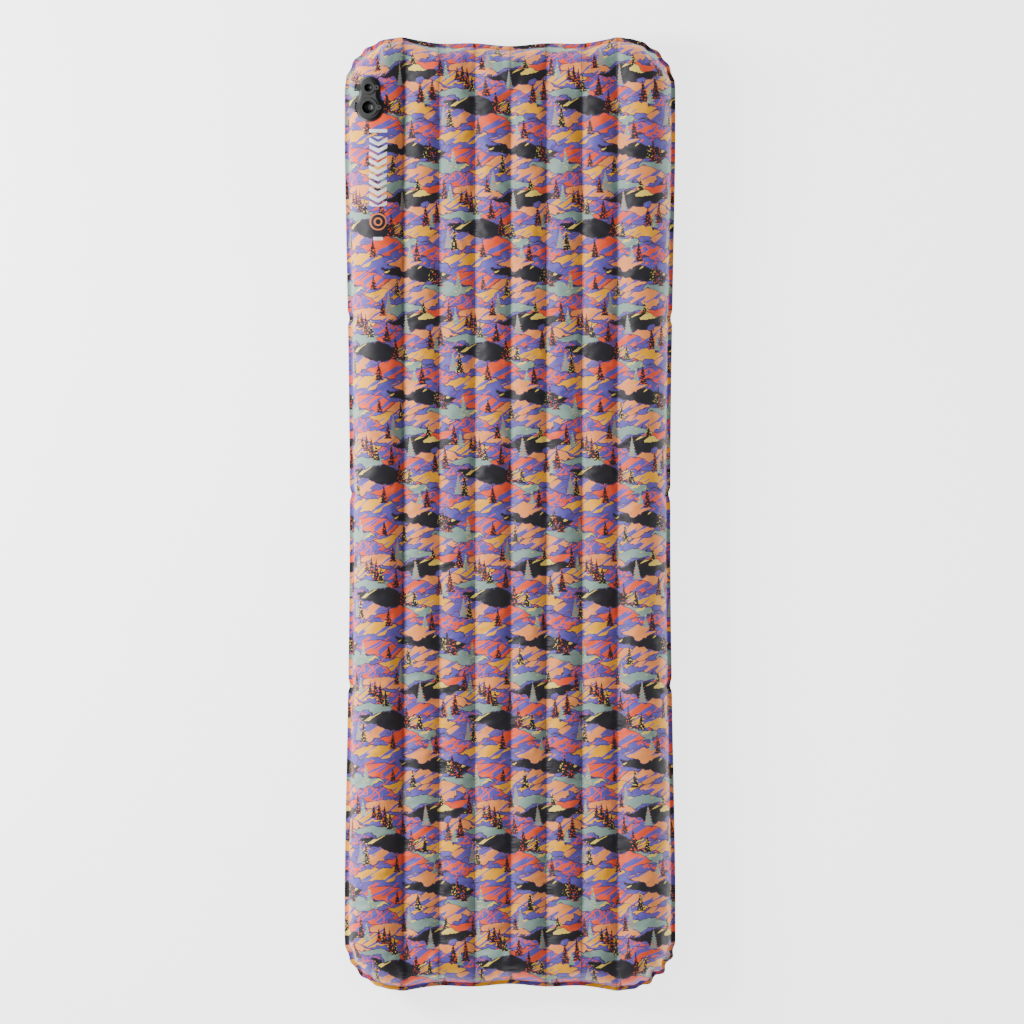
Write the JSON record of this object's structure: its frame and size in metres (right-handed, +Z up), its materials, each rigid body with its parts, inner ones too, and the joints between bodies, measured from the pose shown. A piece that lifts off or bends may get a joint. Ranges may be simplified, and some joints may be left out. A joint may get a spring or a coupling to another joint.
{
  "type": "inflatable sleeping pad",
  "caption": "Inflatable camping sleeping pad with lengthwise I-beam chambers, larger side chambers and a two-port valve with hinged plug caps.",
  "frame": {"origin": "on the ground under the middle of the pad", "axes": "+X across the pad towards the side without the valve, +Y along the pad to the head end, +Z up"},
  "size_m": [0.635, 1.829, 0.1191],
  "materials": {
    "printed_fabric": "fine polyester weave with a mountain and conifer print, matt",
    "base_fabric": "plain charcoal polyester weave, matt",
    "web_fabric": "TPU-laminated white polyester",
    "reflective_film": "vacuum-metallised film, bright",
    "batting": "lofted synthetic fibre",
    "valve_plastic": "black moulded TPU, satin",
    "cap_plastic": "black moulded TPU, satin",
    "silicone": "translucent silicone, soft gloss",
    "button_plastic": "orange moulded acetal, gloss",
    "seal_rubber": "black silicone, soft gloss",
    "pin_plastic": "dark grey moulded acetal"
  },
  "bodies": {
    "pad": {"top_skin": "printed_fabric", "bottom_skin": "base_fabric", "web_1": "web_fabric", "web_2": "web_fabric", "web_3": "web_fabric", "web_4": "web_fabric", "web_5": "web_fabric", "web_6": "web_fabric", "web_7": "web_fabric", "reflective_film_1": "reflective_film", "reflective_film_2": "reflective_film", "reflective_film_3": "reflective_film", "reflective_film_4": "reflective_film", "reflective_film_5": "reflective_film", "reflective_film_6": "reflective_film", "reflective_film_7": "reflective_film", "reflective_film_8": "reflective_film", "insulation_1": "batting", "insulation_2": "batting", "insulation_3": "batting", "insulation_4": "batting", "insulation_5": "batting", "insulation_6": "batting", "insulation_7": "batting", "insulation_8": "batting", "valve_base": "valve_plastic", "valve_backing_ring": "valve_plastic", "check_valve_seat": "valve_plastic", "inflate_hinge_pin": "pin_plastic", "deflate_hinge_pin": "pin_plastic"},
    "inflate_cap": {"inflate_cap": "cap_plastic", "inflate_cap_seal": "seal_rubber"},
    "deflate_cap": {"deflate_cap": "cap_plastic", "deflate_cap_seal": "seal_rubber"},
    "check_valve": {"check_valve_flap": "silicone", "check_valve_stem": "button_plastic"}
  },
  "joints": [
    {"name": "inflate_cap_hinge", "type": "hinge", "parent": "pad", "child": "inflate_cap", "pos_m": [-0.29756, 0.7805, 0.10315], "axis": [0, -1, 0], "range_deg": [0, 150]},
    {"name": "deflate_cap_hinge", "type": "hinge", "parent": "pad", "child": "deflate_cap", "pos_m": [-0.29756, 0.8183, 0.10315], "axis": [0, -1, 0], "range_deg": [0, 150]},
    {"name": "check_valve_press", "type": "slide", "parent": "pad", "child": "check_valve", "axis": [-0.2756, 0, 0.9613], "range_m": [-0.0022, 0], "stiffness_N_per_m": 300, "springref_m": 0.001}
  ]
}
